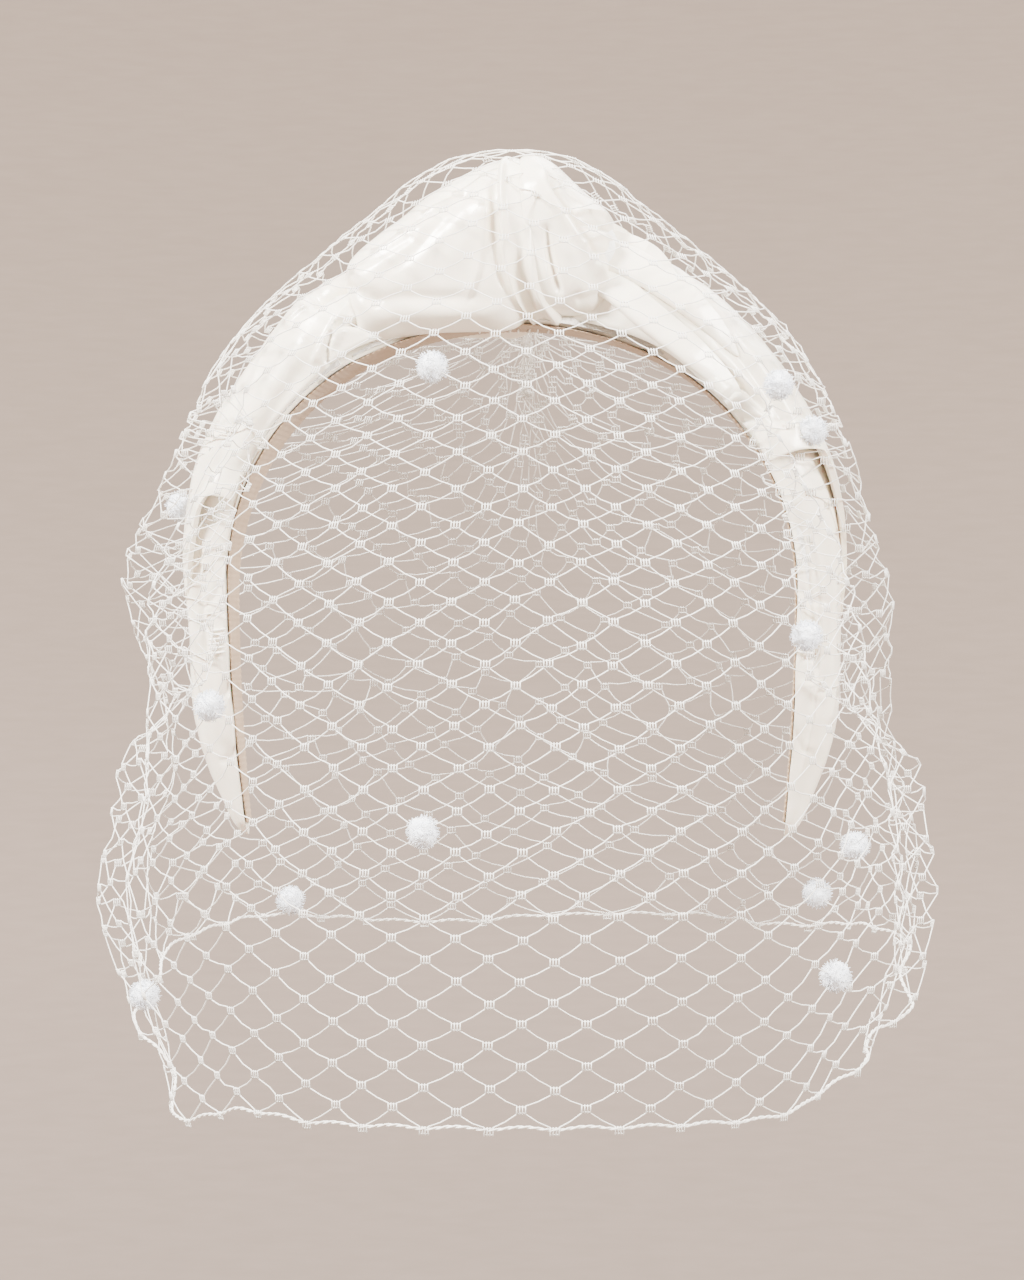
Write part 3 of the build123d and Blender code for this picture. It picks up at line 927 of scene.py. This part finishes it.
ARMS = {1: "left_arm", -1: "right_arm"}
TACK_S = CROWN_RUN + SHOULDER_RUN + (TEMPLE_Z - TACK_Z)
for side, arm in ARMS.items():
    start, end = body_point(FLEX_FROM, 6, side), body_point(FLEX_TO, 6, side)
    cover = closed_skin(f"satin_{arm}_cover", press(cover_grid(side), COVER_FOLDS[side]))
    wing = wing_skin(f"satin_{arm}_wing", side)
    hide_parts(f"{arm}_cover", f"{arm}_tip_fold", *(["crown_cover"] if side > 0 else []))
    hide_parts(f"{arm}_wing")
    for piece, fill in ((cover, 0.8), (wing, 0.3)):
        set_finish(piece, "band_satin")
        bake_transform(piece)


# ---- Ribbon lining, stitches and the gathering thread ----
LINING_HALF = [
    (0, 15.0), (44, 15.8), (60, 15.2), (80, 14), (100, 12.8), (120, 10.8), (140, 9.2), (154, 8),
    (168, 6.4), (179, 4.8), (186, 3.9),
]


RIB_PITCH = 1.66


def lining_grid(side, rows=560, columns=26):
    """A ribbon with fine ribs across it, glued to the underside of the band."""
    s = np.linspace(0, LINING_HALF[-1][0], rows)
    half = through(LINING_HALF, s)
    turn = around(columns)
    scallop = 0.18 * np.sin(s * 2 * np.pi / RIB_PITCH)[:, None]
    across = (half + scallop) * power(np.cos(turn), 0.4)
    rib = 0.05 * np.sin(s * 2 * np.pi / RIB_PITCH)[:, None] * (np.sin(turn) < 0)
    above = 0.42 + 0.38 * power(np.sin(turn), 0.5) - rib
    return band_place(s[:, None], across, above, side)


def stitch(ends, lift, radius, count=9):
    """One short bowed stitch of thread between two places."""
    a, b, lift = (np.asarray(v, float) for v in (*ends, lift))
    t = np.linspace(0, 1, count)[:, None]
    path = a + (b - a) * t + lift * np.sin(np.pi * t)
    return tubes(path[None], radius, np.array([[[0.3, 0.2, 1.0]]]), sides=8, caps=True)


def wound_thread(middle, radius, turns, pitch, thick):
    """Thread wound a few times round the gathered net, with two loose ends."""
    turn = np.linspace(0, turns * 2 * np.pi, turns * 26)
    wander = 0.25 * np.sin(turn * 0.37)
    along = (turn / (2 * np.pi) - turns / 2) * pitch + wander * 0.5
    path = np.stack([(radius + wander) * np.cos(turn), along, (radius + wander) * np.sin(turn)], -1)
    tail = np.array([[0.6, 0.4, -1.4], [1.0, 0.9, -3.2], [0.7, 1.6, -5.2], [1.4, 1.9, -7.0]])
    first = path[:1] + np.concatenate([[[0, 0, 0]], tail - tail[0]]) * [-1, -1, 1]
    last = smooth_path(path[-1:] + tail, 16)
    path = np.concatenate([smooth_path(first[::-1], 16)[:-1], path, last[1:]])
    return tubes((path + middle)[None], thick, np.array([[[0.2, 1.0, 0.1]]]), sides=7, caps=True)


for side, arm in ARMS.items():
    ribbon = closed_skin(f"ribbon_{arm}_lining", lining_grid(side))
    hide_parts(f"{arm}_lining", *(["crown_lining"] if side > 0 else []))
    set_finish(ribbon, "lining")
    body_point(FLEX_FROM, 0, side)
    body_point(FLEX_TO, 0, side)
    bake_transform(ribbon)
    loops = []
    half = through(COVER, TACK_S)[0, 0]
    for step in (-3.4, -2.2, -0.9, 0.4, 1.5, 2.9):
        a = band_place(TACK_S + step, -(half - 1.2), 1.2, side)
        b = band_place(TACK_S + step + 0.7, -(half + 0.2), 6.4 - abs(step) * 0.3, side)
        bow = np.array([-side * 1.3, -1.0, 0.0])
        loops.append(stitch((a, b), bow, 0.33))
    tack = make_mesh(f"thread_{arm}_tack", *join_parts(loops))
    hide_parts(f"{arm}_veil_tack")
    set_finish(tack, "thread")
    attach(tack, arm)

closing = []
for n, x in enumerate((-9.4, -6.6, -4.0, -1.2, 1.4, 4.2, 6.8, 9.6)):
    slant = 1.1 if n % 2 else 0.7
    closing.append(stitch(((x, 3.1, -0.2), (x + slant, -3.1, -0.2)), (0, 0, -0.75), 0.25))
closing_thread = make_mesh("thread_knot_stitches", *join_parts(closing))
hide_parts("knot_stitches")
winding = wound_thread(np.array([0, 26.6, 27.0]), 3.1, 5, 0.75, 0.4)
gathering = make_mesh("thread_gathering", *winding)
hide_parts("veil_gather_thread")
for piece in (closing_thread, gathering):
    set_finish(piece, "thread")
    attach(piece, "crown")


# ---- Materials ----
def set_inputs(node, values):
    """Give a shader node's inputs their values."""
    for name, value in values.items():
        node.inputs[name].default_value = value


def plain_material(name, colour, roughness):
    """A principled material, its shader and its node tree."""
    made = bpy.data.materials.new(name)
    made.use_nodes = True
    shader = made.node_tree.nodes["Principled BSDF"]
    set_inputs(shader, {"Base Color": (*colour, 1), "Roughness": roughness})
    return made, shader, made.node_tree


def natural_noise(tree, scale, detail):
    """A noise texture over the object's own axes, with its scale along each of them."""
    place = tree.nodes.new("ShaderNodeTexCoord")
    stretch = tree.nodes.new("ShaderNodeMapping")
    set_inputs(stretch, {"Scale": scale})
    tree.links.new(place.outputs["Object"], stretch.inputs["Vector"])
    texture = tree.nodes.new("ShaderNodeTexNoise")
    set_inputs(texture, {"Scale": 1.0, "Detail": detail})
    tree.links.new(stretch.outputs["Vector"], texture.inputs["Vector"])
    return texture.outputs["Fac"]


def add_bump(tree, shader, layers):
    """Bumps on top of each other: scale along the three axes, strength, depth in metres."""
    before = None
    for scale, strength, depth in layers:
        bump = tree.nodes.new("ShaderNodeBump")
        set_inputs(bump, {"Strength": strength, "Distance": depth})
        tree.links.new(natural_noise(tree, scale, 4.0), bump.inputs["Height"])
        if before:
            tree.links.new(before, bump.inputs["Normal"])
        before = bump.outputs["Normal"]
    tree.links.new(before, shader.inputs["Normal"])


def add_tint(tree, shader, scale, dark, light):
    """A soft natural change of colour over the surface."""
    ramp = tree.nodes.new("ShaderNodeValToRGB")
    for element, position, colour in zip(ramp.color_ramp.elements, (0.3, 0.7), (dark, light)):
        element.position = position
        element.color = (*colour, 1)
    tree.links.new(natural_noise(tree, scale, 5.0), ramp.inputs["Fac"])
    tree.links.new(ramp.outputs["Color"], shader.inputs["Base Color"])
    return ramp


def satin_material(name, dark, light):
    """Heavy ivory satin: a soft sheen and a very fine weave."""
    made, shader, tree = plain_material(name, light, 0.29)
    set_inputs(shader, {"Sheen Weight": 0.15, "Sheen Roughness": 0.4, "Specular IOR Level": 0.6})
    set_inputs(shader, {"Subsurface Weight": 0.08, "Subsurface Scale": 0.003})
    add_tint(tree, shader, (45, 45, 45), dark, light)
    fine = ((900, 3200, 900), 0.16, 0.00012)
    weave = ((3600, 700, 3600), 0.14, 0.00010)
    crinkle = ((150, 110, 150), 0.28, 0.0006)
    add_bump(tree, shader, [fine, weave, crinkle])
    return made


def cloth_material(name, dark, light, roughness, bump, tint, sheen):
    """A matt fibrous material."""
    made, shader, tree = plain_material(name, light, roughness)
    set_inputs(shader, {"Sheen Weight": sheen})
    add_tint(tree, shader, (tint, tint, tint), dark, light)
    add_bump(tree, shader, [bump])
    return made


NET_WHITES = ((0.74, 0.71, 0.66), (0.82, 0.80, 0.76))
# Dark and light colour, roughness, the bump's scale, strength and depth, the scale of the
# change of colour, and sheen
CLOTHS = {
    "lining": (
        (0.33, 0.23, 0.15), (0.42, 0.31, 0.21), 0.8, ((2600, 300, 2600), 0.4, 0.0002), 60, 0.05
    ),
    "wadding": (
        (0.80, 0.79, 0.76), (0.90, 0.89, 0.86), 0.95, ((700, 700, 700), 0.7, 0.001), 60, 0.3
    ),
    "thread": (
        (0.80, 0.76, 0.68), (0.88, 0.85, 0.78), 0.6, ((2600, 2600, 900), 0.5, 0.0002), 60, 0.3
    ),
    "veil_netting": (*NET_WHITES, 0.6, ((2400, 2400, 2400), 0.3, 0.0001), 60, 0.3),
    "selvedge_cord": (*NET_WHITES, 0.6, ((2400, 2400, 2400), 0.4, 0.0002), 60, 0.3),
    "chenille": (
        (0.78, 0.83, 0.92), (0.90, 0.93, 0.98), 0.9, ((1500, 1500, 1500), 0.6, 0.0004), 300, 0.6
    ),
    "band_core": (
        (0.62, 0.60, 0.55), (0.70, 0.68, 0.63), 0.45, ((300, 300, 300), 0.2, 0.0002), 40, 0.0
    ),
}
MATERIALS = {
    "knot_satin": satin_material("knot_satin", (0.87, 0.79, 0.66), (0.93, 0.865, 0.745)),
    "band_satin": satin_material("band_satin", (0.86, 0.78, 0.65), (0.92, 0.855, 0.735)),
}
for name, look in CLOTHS.items():
    MATERIALS[name] = cloth_material(name, *look)

for shown in bpy.data.objects:
    if shown.type == "MESH" and "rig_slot" in shown:
        shown.data.materials.clear()
        shown.data.materials.append(MATERIALS[shown["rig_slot"]])
HIDDEN_CORES = ["crown_core", "right_arm_core", "left_arm_core"]
HIDDEN_WADDING = ["crown_padding", "right_arm_padding", "left_arm_padding"]
HIDDEN_WADDING += ["knot_main_filling", "knot_side_filling"]
for node in HIDDEN_CORES + HIDDEN_WADDING:
    hidden = frame["nodes"][node].data.materials
    if not hidden:
        hidden.append(None)
    for n in range(len(hidden)):
        hidden[n] = MATERIALS["band_core" if node in HIDDEN_CORES else "wadding"]

# ---- Stage, light and camera ----
CAMERA_DISTANCE = 1300.0
CAMERA_TURN = math.radians(4.5)
CAMERA_HEIGHT = -87.0
VIEW_HEIGHT = 358.4  # shown at the band


def add_camera():
    """The camera level with the temples, turned a little to the wearer's left."""
    lens = bpy.data.cameras.new("camera")
    lens.sensor_width = 36.0
    lens.lens = 36.0 * CAMERA_DISTANCE / VIEW_HEIGHT
    lens.clip_start = 0.05
    camera = bpy.data.objects.new("camera", lens)
    out = Vector((math.sin(CAMERA_TURN), -math.cos(CAMERA_TURN), 0))
    camera.location = (out * CAMERA_DISTANCE + Vector((0, 0, CAMERA_HEIGHT))) * MM
    camera.rotation_euler = (-out).to_track_quat("-Z", "Y").to_euler()
    bpy.context.scene.collection.objects.link(camera)
    bpy.context.scene.camera = camera


def add_stage():
    """A pale floor that curves up into a round wall; the floor's colour is darkened with painted
    shade that fades out up the cove.
    """
    radius, cove, floor = 3300.0, 1700.0, -760.0
    profile = [(r, floor) for r in (30.0, 200.0, 600.0, 1100.0, radius - cove)]
    for n in range(1, 17):
        turn = math.pi / 2 * n / 16
        profile.append((radius - cove + cove * math.sin(turn), floor + cove * (1 - math.cos(turn))))
    profile += [(radius, 1900.0), (radius, 2900.0)]
    points = [[r * math.cos(a), r * math.sin(a), z] for r, z in profile for a in around(96)]
    faces = list(grid_faces(len(profile), 96)) + [np.arange(96)]
    made = make_mesh("stage_floor", points, faces)
    shade, shader, tree = plain_material("stage_paint", (0.28, 0.22, 0.185), 0.9)
    ramp = add_tint(tree, shader, (30, 30, 190), (0.318, 0.249, 0.209), (0.339, 0.267, 0.225))
    place = tree.nodes.new("ShaderNodeTexCoord")
    split = tree.nodes.new("ShaderNodeSeparateXYZ")
    # Painted shade: the backdrop colour is mixed towards black, by 0.28 on the floor, fading to
    # none 0.35 m below the middle, up the cove
    painted_floor_shade = tree.nodes.new("ShaderNodeMapRange")
    set_inputs(painted_floor_shade, {"From Min": -0.76, "From Max": -0.35, "To Min": 0.28, "To Max": 0.0})
    mix = tree.nodes.new("ShaderNodeMix")
    mix.data_type = "RGBA"
    set_inputs(mix, {"B": (0, 0, 0, 1)})
    tree.links.new(place.outputs["Object"], split.inputs["Vector"])
    tree.links.new(split.outputs["Z"], painted_floor_shade.inputs["Value"])
    tree.links.new(painted_floor_shade.outputs["Result"], mix.inputs["Factor"])
    tree.links.new(ramp.outputs["Color"], mix.inputs["A"])
    tree.links.new(mix.outputs["Result"], shader.inputs["Base Color"])
    made.data.materials.append(shade)


def add_light(name, place, size, watts, colour=(1, 1, 1)):
    """A square area light that faces the middle of the part."""
    data = bpy.data.lights.new(name, "AREA")
    data.size = size
    data.energy = watts
    data.color = colour
    light = bpy.data.objects.new(name, data)
    light.location = place
    aim = Vector((0, 0, -0.06)) - light.location
    light.rotation_euler = aim.to_track_quat("-Z", "Y").to_euler()
    bpy.context.scene.collection.objects.link(light)


add_camera()
add_stage()
add_light("key", (-1.4, -0.9, 1.3), 0.45, 300, (1, 0.975, 0.92))
add_light("fill", (1.5, -1.1, 0.8), 0.6, 175, (1, 0.975, 0.92))
add_light("top", (0.15, 0.2, 1.9), 1.0, 70)
add_light("back", (0.5, 1.7, 1.2), 1.1, 42)
world = bpy.data.worlds.new("studio")
world.use_nodes = True
background = world.node_tree.nodes["Background"]
set_inputs(background, {"Color": (1.0, 0.97, 0.93, 1), "Strength": 1.35})
bpy.context.scene.world = world
